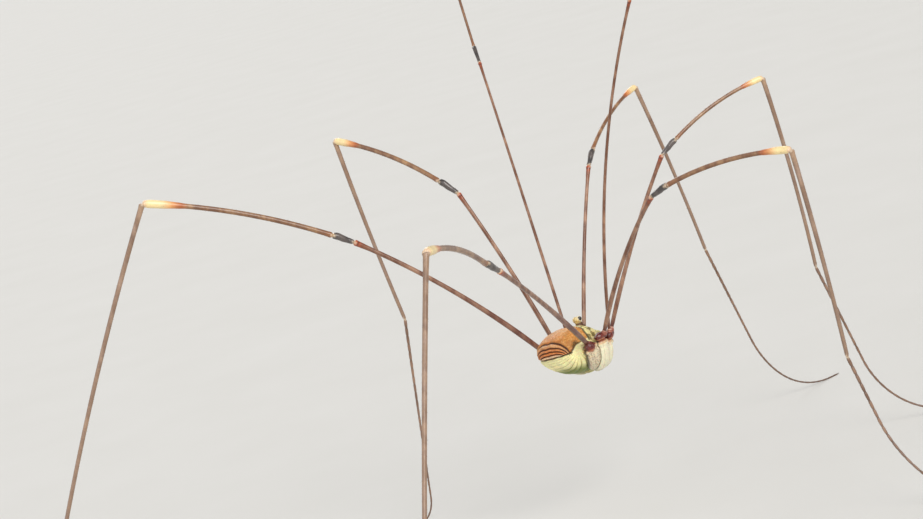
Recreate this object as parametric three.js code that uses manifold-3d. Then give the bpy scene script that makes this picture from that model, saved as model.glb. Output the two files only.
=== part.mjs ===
// A long-legged harvestman, life size, standing on six legs with its second pair raised as feelers.
// Lengths are in millimetres and angles in degrees. +X is the way the animal faces, +Y is its left
// side and +Z is up. The origin is on the floor, under the middle of the whole animal.

import * as THREE from 'three';
import { mergeVertices } from 'three/addons/utils/BufferGeometryUtils.js';
import Module from 'manifold-3d';

const wasm = await Module();
wasm.setup();

// The trunk: its place over the floor and how it is tipped
const TRUNK_HEIGHT = 13.5;
const TRUNK_PITCH = 4.7;
const TRUNK_LEAN = -8.2;

// Trunk outline, measured from the trunk's own middle: x of both ends, then for each outline its
// greatest size and the x where it is greatest
const TRUNK_REAR = -2.5;
const TRUNK_FRONT = 2.7;
const BACK_RISE = { size: 1.76, at: -0.35, rearPower: 1.8, frontPower: 1.4 };
const BELLY_DROP = { size: 1.9, at: 0.2, rearPower: 2, frontPower: 2.5 };
const HALF_WIDTH = { size: 2.1, at: -1.3, rearPower: 2.8, frontPower: 2.5 };
const BACK_SQUARENESS = 2.45;
const BELLY_SQUARENESS = 2;
const REAR_LIFT = 0.55;
const LIFT_START = 0.5;
const TRUNK_RINGS = 12;
const TRUNK_SIDES = 14;
const CARAPACE_SEAM = 0.68;
const SEAM_GAP = 0.04;

// Eye mound and eyes
const MOUND_PLACE = [1.4, 0, 1.42];
const MOUND_HEIGHT = 0.66;
const MOUND_ROOT = 0.2;
const MOUND_NECK = 0.27;
const MOUND_RADIUS = 0.36;
const EYE_RADIUS = 0.17;
const EYE_PLACE = [1.45, 0.26, 1.86];

// Coxae: the fan of eight basal joints under the trunk, each from the middle line of the belly,
// round the flank and up to its hip. inner, bulge and outer are for the left side
const COXAE = {
  4: { inner: [0.75, 0.44, -1.75], bulge: [-0.1, 2.25, -1.42], outer: [-0.47, 2.38, 0.05], half: 0.74 },
  3: { inner: [0.8, 0.44, -1.9], bulge: [0.68, 2.2, -1.97], outer: [0.68, 2.52, 0.1], half: 0.6 },
  2: { inner: [1.15, 0.42, -1.82], bulge: [1.2, 1.7, -2.12], outer: [1.46, 2.2, -0.12], half: 0.52 },
  1: { inner: [1.55, 0.4, -1.5], bulge: [1.8, 0.95, -1.6], outer: [2.2, 1.5, -0.3], half: 0.46 },
};
const COXA_DEPTH = 0.42;
const COXA_INNER_SHARE = 0.43;
const COXA_OUTER_SHARE = 0.8;
const COXA_RINGS = 4;
const COXA_SIDES = 8;

// Hips: where the leg turns on its coxa, for the left side
const HIPS = { 1: [2.6, 1.6, 0], 2: [1.78, 2.4, 0.04], 3: [0.85, 2.9, 0.35], 4: [-0.6, 2.5, 0.2] };
const TROCHANTER_RADIUS = 0.38;

// Legs: the lengths of femur, patella, tibia, metatarsus and tarsus for each pair
const LENGTHS = {
  1: { femur: 13.94, patella: 1.6, tibia: 8.5, metatarsus: 15.3, tarsus: 21 },
  2: { femur: 26.4, patella: 2.1, tibia: 23.5, metatarsus: 26, tarsus: 42 },
  3: { femur: 13.9, patella: 1.8, tibia: 10, metatarsus: 15.1, tarsus: 20 },
  4: { femur: 17.2, patella: 1.7, tibia: 14.3, metatarsus: 25.5, tarsus: 25 },
};

// Posture: [pitch over the floor, heading from straight ahead towards the leg's own side, arch].
// The arch is how much steeper than its chord a joint starts, and how much flatter it ends.
// A standing tarsus comes down at its pitch and turns level over its bend, ending at a heading.
// A raised tarsus turns evenly from its first pitch to its last.
const POSTURE = {
  '1_left': {
    femur: [59.5, 17.5, 5.5], patella: [38.5, 19, 0], tibia: [22.5, 12.5, 14], metatarsus: [-75.5, 10, 3],
    tarsus: { pitch: -72, heading: 5, bend: 11, lastHeading: -1 },
  },
  '1_right': {
    femur: [57.5, 23, 5], patella: [31.5, 25, 0], tibia: [17.5, 22.5, 13], metatarsus: [-88, 29.5, 3],
    tarsus: { pitch: -77, heading: 33.5, bend: 9.5, lastHeading: 36.5 },
  },
  '2_left': {
    femur: [53.5, 54.5, 2], patella: [35, 54, 0], tibia: [56, 54, 3], metatarsus: [2, 52, 6],
    tarsus: { pitch: -4, heading: 50, lastPitch: -42 },
  },
  '2_right': {
    femur: [68.5, 81, 11], patella: [48, 80, 0], tibia: [33, 76, 5], metatarsus: [0, 70, 6],
    tarsus: { pitch: -8, heading: 66, lastPitch: -56 },
  },
  '3_left': {
    femur: [69, 109.5, 3.5], patella: [41.5, 112.5, 0], tibia: [27, 104.5, 11], metatarsus: [-98, 104.5, 2],
    tarsus: { pitch: -81.5, heading: 105.5, bend: 4, lastHeading: 107 },
  },
  '3_right': {
    femur: [48, 92.5, 9], patella: [21.5, 85.5, 0], tibia: [5.5, 70, 12], metatarsus: [-88.5, 73.5, 2],
    tarsus: { pitch: -75, heading: 77, bend: 11, lastHeading: 83 },
  },
  '4_left': {
    femur: [46, 148, 7.5], patella: [33.5, 149.5, 0], tibia: [25.5, 149, 8], metatarsus: [-61, 148.5, 3],
    tarsus: { pitch: -68.5, heading: 148.5, bend: 8, lastHeading: 148.5 },
  },
  '4_right': {
    femur: [33, 149.5, 4], patella: [33, 161.5, 0], tibia: [15.5, 143.5, 10], metatarsus: [-55.5, 153, 2],
    tarsus: { pitch: -68, heading: 153, bend: 8, lastHeading: 153 },
  },
};

// Thickness along each leg joint: [millimetres from its start, radius], where a negative distance is
// measured back from its end. The legs keep 0.5 mm throughout, so that they can be made and handled
const SLIM = 0.25;
const KNEE = 0.3;
const PROFILES = {
  femur: [[-0.28, 0.2, 'hip'], [-0.14, 0.33, 'hip'], [0.06, TROCHANTER_RADIUS], [0.34, 0.33], [0.55, SLIM],
    [0.95, 0.29], [5, 0.27], [-5, 0.26], [-0.8, 0.28], [-0.2, KNEE]],
  patella: [[0.36, 0.26], [0.8, 0.29], [-0.4, 0.33], [-0.1, KNEE]],
  tibia: [[0.36, 0.26], [1, SLIM], [4, SLIM], [-4, SLIM], [-1.6, 0.29], [-0.3, KNEE]],
  metatarsus: [[0.36, 0.27], [1, SLIM], [5, SLIM], [-5, SLIM], [-0.2, SLIM]],
};
const LEG_SIDES = 8;
const TARSUS_STEPS = 8;
const TARSUS_SLIM = 0.25;
const TIP_LENGTH = 0.5;

// Mouthparts for the left side: the points each follows, and its radii at base, middle and tip
const CHELICERA = { points: [[2.2, 0.3, -0.2], [2.75, 0.32, -0.28], [2.8, 0.3, -0.7], [2.6, 0.28, -1.2]],
  radii: [0.25, 0.28, 0.14] };
const PALP = { points: [[1.9, 0.66, -0.6], [2.3, 0.7, -0.7], [2.55, 0.7, -1.05], [2.4, 0.58, -1.5],
  [1.8, 0.42, -1.85]], radii: [0.25, 0.25, 0.2] };
const GENITAL_PLATE = { place: [0.82, 0, -1.93], half: [0.72, 0.34, 0.28] };

// Finishes
const OCHRE = { color: 0xc98a3c, roughness: 0.7 };
const CREAM = { color: 0xe3dc9c, roughness: 0.6 };
const STRAW = { color: 0xcdb668, roughness: 0.65 };
const RUSSET = { color: 0x7a4634, roughness: 0.5 };
const SLATE = { color: 0x3a3438, roughness: 0.5 };
const TAN = { color: 0x9c7a66, roughness: 0.6 };
const JET = { color: 0x0a0806, roughness: 0.1 };
const LEG_FINISHES = { femur: RUSSET, patella: SLATE, tibia: RUSSET, metatarsus: TAN };

const rad = THREE.MathUtils.degToRad;
const mirrored = (a, side) => new THREE.Vector3(a[0], a[1] * side, a[2]);
const SIDES = { left: 1, right: -1 };

// Solid arithmetic: a closed geometry to a solid and back
function toSolid(geometry) {
  const plain = geometry.clone();
  plain.deleteAttribute('normal');
  plain.deleteAttribute('uv');
  const merged = mergeVertices(plain, 1e-4);
  return new wasm.Manifold(new wasm.Mesh({
    numProp: 3,
    vertProperties: Float32Array.from(merged.attributes.position.array),
    triVerts: Uint32Array.from(merged.index.array),
  }));
}

function toGeometry(solid) {
  const mesh = solid.getMesh();
  const geometry = new THREE.BufferGeometry();
  geometry.setAttribute('position', new THREE.BufferAttribute(mesh.vertProperties, 3));
  geometry.setIndex(new THREE.BufferAttribute(mesh.triVerts, 1));
  geometry.computeVertexNormals();
  return geometry;
}

function subtractAll(solid, cutters) {
  return cutters.reduce((rest, cutter) => rest.subtract(cutter), solid);
}

// A closed body through rings of points, all alike in count, with both ends capped
function loft(rings) {
  const sides = rings[0].length;
  const middle = (ring) => ring.reduce((sum, p) => sum.add(p), new THREE.Vector3()).divideScalar(sides);
  const points = [...rings.flat(), middle(rings[0]), middle(rings.at(-1))];
  const startHub = rings.length * sides;
  const lastRow = startHub - sides;
  const faces = [];
  for (let row = 0; row < rings.length - 1; row++) {
    for (let k = 0; k < sides; k++) {
      const a = row * sides + k;
      const b = row * sides + (k + 1) % sides;
      faces.push(a, b, b + sides, a, b + sides, a + sides);
    }
  }
  for (let k = 0; k < sides; k++) {
    const next = (k + 1) % sides;
    faces.push(startHub, next, k, startHub + 1, lastRow + k, lastRow + next);
  }
  const geometry = new THREE.BufferGeometry().setFromPoints(points);
  geometry.setIndex(faces);
  geometry.computeVertexNormals();
  return geometry;
}

// An elliptical ring about a point. across and along are unit vectors of its two half-sizes, and a
// ring of eight sides lies with a flat side down
function ring(centre, across, halfAcross, along, halfAlong, sides) {
  return Array.from({ length: sides }, (_, k) => {
    const angle = 2 * Math.PI * (k + 0.5) / sides;
    return centre.clone()
      .addScaledVector(across, halfAcross * Math.cos(angle))
      .addScaledVector(along, halfAlong * Math.sin(angle));
  });
}

// Trunk surface: the egg-shaped outline, as a body grown outward by a margin
function outline(shape, x) {
  const behind = x < shape.at;
  const reach = behind ? shape.at - TRUNK_REAR : TRUNK_FRONT - shape.at;
  const power = behind ? shape.rearPower : shape.frontPower;
  return shape.size * Math.sqrt(Math.max(0, 1 - (Math.abs(x - shape.at) / reach) ** power));
}

function trunkBody() {
  const rings = [];
  for (let i = 0; i <= TRUNK_RINGS; i++) {
    const turn = Math.PI * (0.04 + 0.92 * i / TRUNK_RINGS);
    const x = (TRUNK_REAR + TRUNK_FRONT) / 2 - (TRUNK_FRONT - TRUNK_REAR) / 2 * Math.cos(turn);
    const lift = REAR_LIFT * THREE.MathUtils.clamp((LIFT_START - x) / (LIFT_START - TRUNK_REAR), 0, 1) ** 2;
    const loop = [];
    for (let k = 0; k < TRUNK_SIDES; k++) {
      const angle = 2 * Math.PI * (k + 0.5) / TRUNK_SIDES;
      const upper = Math.sin(angle) > 0;
      const bend = (value) => Math.sign(value)
        * Math.abs(value) ** (2 / (upper ? BACK_SQUARENESS : BELLY_SQUARENESS));
      const height = outline(upper ? BACK_RISE : BELLY_DROP, x);
      loop.push(new THREE.Vector3(x, outline(HALF_WIDTH, x) * bend(Math.cos(angle)),
        lift + height * bend(Math.sin(angle))));
    }
    rings.push(loop);
  }
  return toSolid(loft(rings));
}

// A coxa follows a bent line round the flank. grow makes it larger, as a cutter for its neighbours
function coxaBody(pair, side, grow = 0) {
  const shape = COXAE[pair];
  const path = new THREE.QuadraticBezierCurve3(
    mirrored(shape.inner, side), mirrored(shape.bulge, side), mirrored(shape.outer, side));
  const rings = [];
  for (let i = 0; i <= COXA_RINGS; i++) {
    const t = i / COXA_RINGS;
    const tangent = path.getTangent(t);
    const across = new THREE.Vector3(1, 0, 0).addScaledVector(tangent, -tangent.x).normalize();
    const along = new THREE.Vector3().crossVectors(tangent, across);
    const endShare = t < 0.5 ? COXA_INNER_SHARE : COXA_OUTER_SHARE;
    const swell = 1 - (1 - endShare) * (Math.abs(t - 0.5) / 0.5) ** 2;
    const endwise = tangent.clone().multiplyScalar(grow * (i === 0 ? -1 : i === COXA_RINGS ? 1 : 0));
    rings.push(ring(path.getPoint(t).add(endwise), across, shape.half * swell + grow,
      along, COXA_DEPTH * (0.6 + 0.4 * swell) + grow, COXA_SIDES));
  }
  return toSolid(loft(rings));
}

function ball(place, radius) {
  return toSolid(new THREE.SphereGeometry(radius, 10, 7).translate(...place));
}

function slab(fromX, toX) {
  return toSolid(new THREE.BoxGeometry(toX - fromX, 8, 8).translate((fromX + toX) / 2, 0, 0));
}

function genitalPlate(grow = 0) {
  const { place, half } = GENITAL_PLATE;
  return toSolid(new THREE.SphereGeometry(1, 10, 5)
    .scale(...half.map((size) => size + grow)).translate(...place));
}

// The eye mound is a lathe: a narrow neck under a wider cap, turned about its own upright line
function moundBody(grow = 0) {
  const profile = [[0, -MOUND_ROOT], [MOUND_NECK, -MOUND_ROOT], [MOUND_NECK, 0.1], [MOUND_RADIUS, 0.36],
    [MOUND_RADIUS * 0.92, 0.5], [MOUND_RADIUS * 0.55, MOUND_HEIGHT - 0.03], [0, MOUND_HEIGHT]];
  const points = profile.map(([r, h], i) => new THREE.Vector2(
    r === 0 ? 0 : r + grow, h + (i < 2 ? -grow : i > 4 ? grow : 0)));
  return toSolid(new THREE.LatheGeometry(points, 9).rotateX(Math.PI / 2).translate(...MOUND_PLACE));
}

// A tapering bar along a smooth line, for mouthparts
function feeler(shape, side, grow = 0) {
  const path = new THREE.CatmullRomCurve3(shape.points.map((p) => mirrored(p, side)));
  const radius = new THREE.CatmullRomCurve3(shape.radii.map((r, i) => new THREE.Vector3(r, i, 0)));
  const steps = shape.points.length * 2;
  const rings = [];
  for (let i = 0; i <= steps; i++) {
    const t = i / steps;
    const tangent = path.getTangent(t);
    const across = new THREE.Vector3(0, 1, 0).addScaledVector(tangent, -tangent.y).normalize();
    const along = new THREE.Vector3().crossVectors(tangent, across);
    const size = radius.getPoint(t).x + grow;
    rings.push(ring(path.getPoint(t), across, size, along, size, 8));
  }
  return toSolid(loft(rings));
}

// Unit vectors of a leg at a pitch and heading: the way it runs, sideways and over it
function legFrame(pitch, heading, side) {
  const p = rad(pitch);
  const h = rad(heading) * side;
  return {
    run: new THREE.Vector3(Math.cos(p) * Math.cos(h), Math.cos(p) * Math.sin(h), Math.sin(p)),
    across: new THREE.Vector3(-Math.sin(h), Math.cos(h), 0),
    over: new THREE.Vector3(-Math.sin(p) * Math.cos(h), -Math.sin(p) * Math.sin(h), Math.cos(p)),
  };
}

// The line of a leg joint: its frame and place at any distance from its start
function legLine(start, length, frameAt) {
  const steps = 600;
  const stations = [start.clone()];
  for (let i = 0; i < steps; i++) {
    const { run } = frameAt((i + 0.5) / steps * length);
    stations.push(stations[i].clone().addScaledVector(run, length / steps));
  }
  const placeAt = (s) => {
    if (s <= 0) return start.clone().addScaledVector(frameAt(0).run, s);
    const f = Math.min(s / length * steps, steps - 1e-6);
    const i = Math.floor(f);
    return stations[i].clone().lerp(stations[i + 1], f - i);
  };
  return { placeAt, frameAt, end: stations[steps] };
}

function archedLine(start, length, [pitch, heading, arch], side) {
  return legLine(start, length, (s) => legFrame(pitch + arch * (1 - 2 * s / length), heading, side));
}

// A standing tarsus runs straight until its bend can bring it level exactly on the floor
function standingLine(start, length, { pitch, heading, bend, lastHeading }, side) {
  const fall = rad(-pitch);
  const axisHeight = TARSUS_SLIM * Math.cos(Math.PI / LEG_SIDES);
  const bendDrop = bend / fall * (1 - Math.cos(fall));
  const straight = (start.z - axisHeight - bendDrop) / Math.sin(fall);
  return legLine(start, length, (s) => {
    const turned = THREE.MathUtils.clamp((s - straight) / bend, 0, 1);
    return legFrame(pitch * (1 - turned), heading + (lastHeading - heading) * turned, side);
  });
}

function raisedLine(start, length, { pitch, heading, lastPitch }, side) {
  return legLine(start, length, (s) => legFrame(pitch + (lastPitch - pitch) * s / length, heading, side));
}

function legBar(line, profile) {
  return loft(profile.map(([s, radius]) => {
    const { across, over } = line.frameAt(Math.max(s, 0));
    return ring(line.placeAt(s), across, radius, over, radius, LEG_SIDES);
  }));
}

function profileOf(name, length) {
  const placed = PROFILES[name].map(([s, r, hip]) => [s < 0 && !hip ? length + s : s, r]);
  return [...placed.filter(([s]) => s < length), [length + KNEE * 0.4, KNEE * 0.72]]
    .sort((a, b) => a[0] - b[0]);
}

function tarsusProfile(length) {
  const first = 0.3;
  const body = Array.from({ length: TARSUS_STEPS }, (_, i) =>
    [first + (length - TIP_LENGTH - first) * i / (TARSUS_STEPS - 1), TARSUS_SLIM]);
  return [...body, [length, TARSUS_SLIM]];
}

// The parts, each a named mesh
const harvestman = new THREE.Group();

function addPart(parent, name, geometry, finish) {
  const mesh = new THREE.Mesh(geometry, new THREE.MeshStandardMaterial({ metalness: 0, ...finish }));
  mesh.name = name;
  parent.add(mesh);
}

const trunk = new THREE.Group();
trunk.rotation.set(rad(TRUNK_LEAN), rad(-TRUNK_PITCH), 0, 'YXZ');
trunk.position.set(0, 0, TRUNK_HEIGHT);
trunk.updateMatrix();
harvestman.add(trunk);

const hipBalls = [];
const coxaCutters = [];
for (const side of Object.values(SIDES)) {
  for (const pair of [1, 2, 3, 4]) {
    hipBalls.push(ball(mirrored(HIPS[pair], side).toArray(), TROCHANTER_RADIUS + SEAM_GAP));
    coxaCutters.push(coxaBody(pair, side, SEAM_GAP));
  }
}
const plateCutter = genitalPlate(SEAM_GAP);
const moundCutter = moundBody(SEAM_GAP);
const eyeCutters = Object.values(SIDES).map((side) =>
  ball(mirrored(EYE_PLACE, side).toArray(), EYE_RADIUS + SEAM_GAP));
const mouthCutters = Object.values(SIDES).flatMap((side) =>
  [feeler(CHELICERA, side, SEAM_GAP), feeler(PALP, side, SEAM_GAP)]);

const trunkCore = subtractAll(trunkBody(), [...coxaCutters, ...hipBalls, plateCutter]);
const abdomen = trunkCore.intersect(slab(TRUNK_REAR - 1, CARAPACE_SEAM - SEAM_GAP / 2));
const carapace = subtractAll(trunkCore.intersect(slab(CARAPACE_SEAM + SEAM_GAP / 2, TRUNK_FRONT + 1)),
  [moundCutter, ...mouthCutters]);
addPart(trunk, 'abdomen', toGeometry(abdomen), OCHRE);
addPart(trunk, 'carapace', toGeometry(carapace), STRAW);
addPart(trunk, 'genital_plate', toGeometry(genitalPlate()), CREAM);
addPart(trunk, 'eye_mound', toGeometry(subtractAll(moundBody(), eyeCutters)), STRAW);

for (const [sideName, side] of Object.entries(SIDES)) {
  const eye = ball(mirrored(EYE_PLACE, side).toArray(), EYE_RADIUS);
  addPart(trunk, `eye_${sideName}`, toGeometry(eye), JET);
  const chelicera = feeler(CHELICERA, side);
  addPart(trunk, `chelicera_${sideName}`, toGeometry(chelicera), CREAM);
  addPart(trunk, `pedipalp_${sideName}`, toGeometry(feeler(PALP, side)), TAN);

  for (const pair of [4, 3, 2, 1]) {
    const behind = pair < 4 ? [coxaBody(pair + 1, side, SEAM_GAP)] : [];
    const coxa = subtractAll(coxaBody(pair, side), [...behind, ...hipBalls, plateCutter, ...mouthCutters]);
    addPart(trunk, `coxa_${pair}_${sideName}`, toGeometry(coxa), CREAM);

    const posture = POSTURE[`${pair}_${sideName}`];
    let joint = mirrored(HIPS[pair], side).applyMatrix4(trunk.matrix);
    for (const [name, finish] of Object.entries(LEG_FINISHES)) {
      const length = LENGTHS[pair][name];
      const line = archedLine(joint, length, posture[name], side);
      addPart(harvestman, `${name}_${pair}_${sideName}`, legBar(line, profileOf(name, length)), finish);
      joint = line.end;
    }
    const length = LENGTHS[pair].tarsus;
    const tarsus = posture.tarsus.bend ? standingLine(joint, length, posture.tarsus, side)
      : raisedLine(joint, length, posture.tarsus, side);
    addPart(harvestman, `tarsus_${pair}_${sideName}`, legBar(tarsus, tarsusProfile(length)), TAN);
  }
}

// The origin goes on the floor, under the middle of the whole animal
harvestman.updateMatrixWorld(true);
const middle = new THREE.Box3().setFromObject(harvestman).getCenter(new THREE.Vector3());
harvestman.position.set(-middle.x, -middle.y, 0);

export default harvestman;
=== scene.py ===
import math

import bpy
import numpy as np
from mathutils import Matrix, Vector


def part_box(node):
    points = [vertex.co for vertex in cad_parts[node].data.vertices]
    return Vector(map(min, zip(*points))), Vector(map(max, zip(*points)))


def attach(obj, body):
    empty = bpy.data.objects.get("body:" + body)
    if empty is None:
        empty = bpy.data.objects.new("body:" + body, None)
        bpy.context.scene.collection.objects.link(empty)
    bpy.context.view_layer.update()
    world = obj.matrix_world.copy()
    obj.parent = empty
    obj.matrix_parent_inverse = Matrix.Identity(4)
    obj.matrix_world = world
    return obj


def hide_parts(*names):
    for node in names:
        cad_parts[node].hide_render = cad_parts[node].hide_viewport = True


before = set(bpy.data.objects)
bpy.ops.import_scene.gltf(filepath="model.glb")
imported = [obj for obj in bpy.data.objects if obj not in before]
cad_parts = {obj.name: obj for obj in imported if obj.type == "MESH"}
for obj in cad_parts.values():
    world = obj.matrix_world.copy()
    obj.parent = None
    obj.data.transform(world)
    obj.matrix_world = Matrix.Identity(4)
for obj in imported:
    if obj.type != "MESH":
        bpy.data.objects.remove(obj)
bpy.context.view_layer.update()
MM = 0.001

# The view. The animal stands on level ground and is seen from behind its right side, a little above
# level. The camera leans over, as the animal stood on a slope. The trunk's middle is found from its
# left eye, which the frame gives, and everything on the trunk is placed from there.
VIEW_HEADING = math.radians(51.5)
VIEW_ELEVATION = math.radians(9)
VIEW_LEAN = math.radians(15)
VIEW_DISTANCE = 200 * MM
TRUNK_IN_VIEW = (8.459 * MM, -6.729 * MM)
LENS = 103.75
TRUNK_TURN = Matrix.Rotation(math.radians(-4.7), 3, "Y") @ Matrix.Rotation(math.radians(-8.2), 3, "X")
EYE_PLACE = (1.45, 0.26, 1.86)

eye_low, eye_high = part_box("eye_left")
trunk_middle = (Vector(eye_low) + Vector(eye_high)) / 2 - (TRUNK_TURN @ Vector(EYE_PLACE)) * MM

view_back = Vector((-math.cos(VIEW_ELEVATION) * math.cos(VIEW_HEADING),
                    -math.cos(VIEW_ELEVATION) * math.sin(VIEW_HEADING), math.sin(VIEW_ELEVATION)))
level_right = Vector((math.sin(VIEW_HEADING), -math.cos(VIEW_HEADING), 0))
level_up = view_back.cross(level_right)
view_right = math.cos(VIEW_LEAN) * level_right - math.sin(VIEW_LEAN) * level_up
view_up = math.cos(VIEW_LEAN) * level_up + math.sin(VIEW_LEAN) * level_right
camera = bpy.data.objects.new("camera", bpy.data.cameras.new("camera"))
camera.data.lens = LENS
camera.data.clip_start = 0.001
camera.data.clip_end = 50
camera.matrix_world = Matrix.Translation(
    trunk_middle - view_right * TRUNK_IN_VIEW[0] - view_up * TRUNK_IN_VIEW[1] + view_back * VIEW_DISTANCE
) @ Matrix((view_right, view_up, view_back)).transposed().to_4x4()
bpy.context.scene.collection.objects.link(camera)
bpy.context.scene.camera = camera
bpy.context.scene.view_settings.view_transform = "Standard"


# The floor: a plain pale matt sheet, far larger than the animal, which only catches its shadows.
def paint(code):
    """A colour code such as c98a3c as the shader's own red, green, blue and alpha."""
    parts = [int(code[i:i + 2], 16) / 255 for i in (0, 2, 4)]
    return tuple(c / 12.92 if c < 0.04045 else ((c + 0.055) / 1.055) ** 2.4 for c in parts) + (1.0,)


def join_value(tree, socket, value):
    if isinstance(value, bpy.types.NodeSocket):
        tree.links.new(value, socket)
    else:
        socket.default_value = value


def add_node(tree, kind, setup=None, **inputs):
    """Adds a node, sets its options, and fills its inputs with values or other nodes' outputs."""
    made = tree.nodes.new(kind)
    for option, value in (setup or {}).items():
        setattr(made, option, value)
    for socket, value in inputs.items():
        join_value(tree, made.inputs[socket.replace("_", " ")], value)
    return made


def blend_colours(tree, share, first, second, way="MIX"):
    made = add_node(tree, "ShaderNodeMix", {"data_type": "RGBA", "blend_type": way})
    for socket, value in ((0, share), (6, first), (7, second)):
        join_value(tree, made.inputs[socket], value)
    return made.outputs[2]


def reckon(tree, operation, *values):
    made = add_node(tree, "ShaderNodeMath", {"operation": operation})
    for socket, value in zip(made.inputs, values):
        join_value(tree, socket, value)
    return made.outputs[0]


def within(tree, value, low, high, to_low=0.0, to_high=1.0):
    """Maps a value from one range to another, clamped at both ends."""
    made = add_node(tree, "ShaderNodeMapRange", {"clamp": True}, Value=value)
    for name, number in (("From Min", low), ("From Max", high), ("To Min", to_low), ("To Max", to_high)):
        join_value(tree, made.inputs[name], number)
    return made.outputs[0]


def new_finish(name, roughness=0.5, **shine):
    """A material with its Principled shader and the numbers that are the same all over it."""
    finish = bpy.data.materials.new(name)
    finish.use_nodes = True
    shader = finish.node_tree.nodes["Principled BSDF"]
    shader.inputs["Roughness"].default_value = roughness
    for socket, value in shine.items():
        shader.inputs[socket.replace("_", " ")].default_value = value
    return finish, finish.node_tree, shader


FLOOR_HALF = 6.0
FLOOR_CUTS = 12
floor_mesh = bpy.data.meshes.new("floor")
floor_line = np.linspace(-FLOOR_HALF, FLOOR_HALF, FLOOR_CUTS + 1)
floor_mesh.from_pydata(
    [(x, y, 0) for y in floor_line for x in floor_line], [],
    [(r * (FLOOR_CUTS + 1) + c, r * (FLOOR_CUTS + 1) + c + 1, (r + 1) * (FLOOR_CUTS + 1) + c + 1,
      (r + 1) * (FLOOR_CUTS + 1) + c) for r in range(FLOOR_CUTS) for c in range(FLOOR_CUTS)])
floor = bpy.data.objects.new("floor", floor_mesh)
bpy.context.scene.collection.objects.link(floor)
finish, tree, shader = new_finish("pale_floor", roughness=0.85)
grain = add_node(tree, "ShaderNodeTexNoise", Scale=900.0, Detail=3.0)
join_value(tree, shader.inputs["Base Color"],
           blend_colours(tree, grain.outputs[0], paint("d6d4cf"), paint("dcdad6")))
floor_mesh.materials.append(finish)

# The light: soft, even studio light. The strongest lamp stands high to the right of the camera, one
# fills in from the left, and one from behind draws a rim on the legs.
def hang_lamp(name, toward, spread, power, tint=(1, 1, 1)):
    """A far, wide lamp in a direction given in the view's own axes. spread: how wide it looks, in degrees."""
    way = (view_right * toward[0] + level_up * toward[1] + view_back * toward[2]).normalized()
    lamp = bpy.data.lights.new(name, "SUN")
    lamp.angle, lamp.energy, lamp.color = math.radians(spread), power, tint
    hung = bpy.data.objects.new(name, lamp)
    turned = way.to_track_quat("Z", "Y").to_matrix().to_4x4()
    hung.matrix_world = Matrix.Translation(trunk_middle + way) @ turned
    bpy.context.scene.collection.objects.link(hung)


hang_lamp("key_lamp", (0.4, 0.62, 1.0), 40, 2.3, (1, 0.98, 0.95))
hang_lamp("fill_lamp", (-0.9, 0.3, 0.7), 60, 0.7, (0.96, 0.98, 1))
hang_lamp("rim_lamp", (-0.3, 0.8, -1.0), 40, 0.9)
world = bpy.data.worlds.new("studio")
world.use_nodes = True
world.node_tree.nodes["Background"].inputs["Color"].default_value = paint("eef0f2")
world.node_tree.nodes["Background"].inputs["Strength"].default_value = 0.45
bpy.context.scene.world = world

# The trunk: one tough egg-shaped skin. A granular ochre plate covers the back, with the last rings of
# the body folded close behind it, a cream carapace with olive freckles lies in front, and the flanks
# and belly are soft cream skin in pleats.
TRUNK_REAR, TRUNK_FRONT = -2.5, 2.7
BACK_RISE = (1.76, -0.35, 1.8, 1.4)
BELLY_DROP = (1.9, 0.2, 2, 2.5)
HALF_WIDTH = (2.1, -1.3, 2.8, 2.5)
BACK_SQUARENESS, BELLY_SQUARENESS = 2.45, 2.0
REAR_LIFT, LIFT_START = 0.55, 0.5
FOLD_AXIS = (-1.55, 0.38)
# Each rear fold: height over the plate's lower edge, reach to the side, groove width, depth, and how
# orange the ridge under it is
REAR_FOLDS = ((1.15, 1.86, 0.07, 0.1, 0.15), (0.8, 1.72, 0.06, 0.075, 0.7), (0.54, 1.55, 0.055, 0.075, 1.0),
              (0.29, 1.38, 0.055, 0.07, 0.0), (0.0, 2.0, 0.07, 0.08, 0.0))
EDGE_HEIGHT, EDGE_CLIMB, EDGE_DEEP = 0.18, 0.42, 0.05
FURROW_AT, FURROW_WIDE, FURROW_DEEP = 0.55, 0.11, 0.07
SECOND_FURROW_AHEAD, SECOND_FURROW_WIDE, SECOND_FURROW_DEEP = 0.42, 0.05, 0.025
PLEAT_ANGLE, PLEAT_DEEP = 13.5, 0.075
PIT_PLACE, PIT_DEEP = (1.72, 1.42), 0.06
# The band of painted shadow where the back plate meets the flank: its middle and half-sizes
SHADE_BAND_PLACE, SHADE_BAND_HALF = (-1.42, 0.1), (0.5, 0.2)
BRIM_HEIGHT, BRIM_DEEP = -0.02, 0.045
BELLY_RINGS, RING_WIDE, RING_DEEP = (-0.6, -1.0, -1.4, -1.75), 0.035, 0.03
FRONT_SLOPE_AT, FRONT_SLOPE_DROP = 2.0, 0.2
SKIN_RINGS, SKIN_SIDES = 230, 300


def outline(shape, x):
    """Half-size of the trunk's outline at x. shape: greatest size, its x, and the powers of both ends."""
    size, at, rear_power, front_power = shape
    behind = x < at
    reach = np.where(behind, at - TRUNK_REAR, TRUNK_FRONT - at)
    power = np.where(behind, rear_power, front_power)
    return size * np.sqrt(np.maximum(0, 1 - (np.abs(x - at) / reach) ** power))


def power_of(value, power):
    """A power of a value that keeps its sign."""
    return np.sign(value) * np.abs(value) ** power


def trunk_surface(x, angle):
    """Points on the trunk in its own axes, in millimetres. The angle goes round from its left side up."""
    upper = np.sin(angle) > 0
    power = 2 / np.where(upper, BACK_SQUARENESS, BELLY_SQUARENESS)
    lift = REAR_LIFT * np.clip((LIFT_START - x) / (LIFT_START - TRUNK_REAR), 0, 1) ** 2
    height = np.where(upper, outline(BACK_RISE, x), outline(BELLY_DROP, x))
    return np.stack([x, outline(HALF_WIDTH, x) * power_of(np.cos(angle), power),
                     lift + height * power_of(np.sin(angle), power)], -1)


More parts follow.
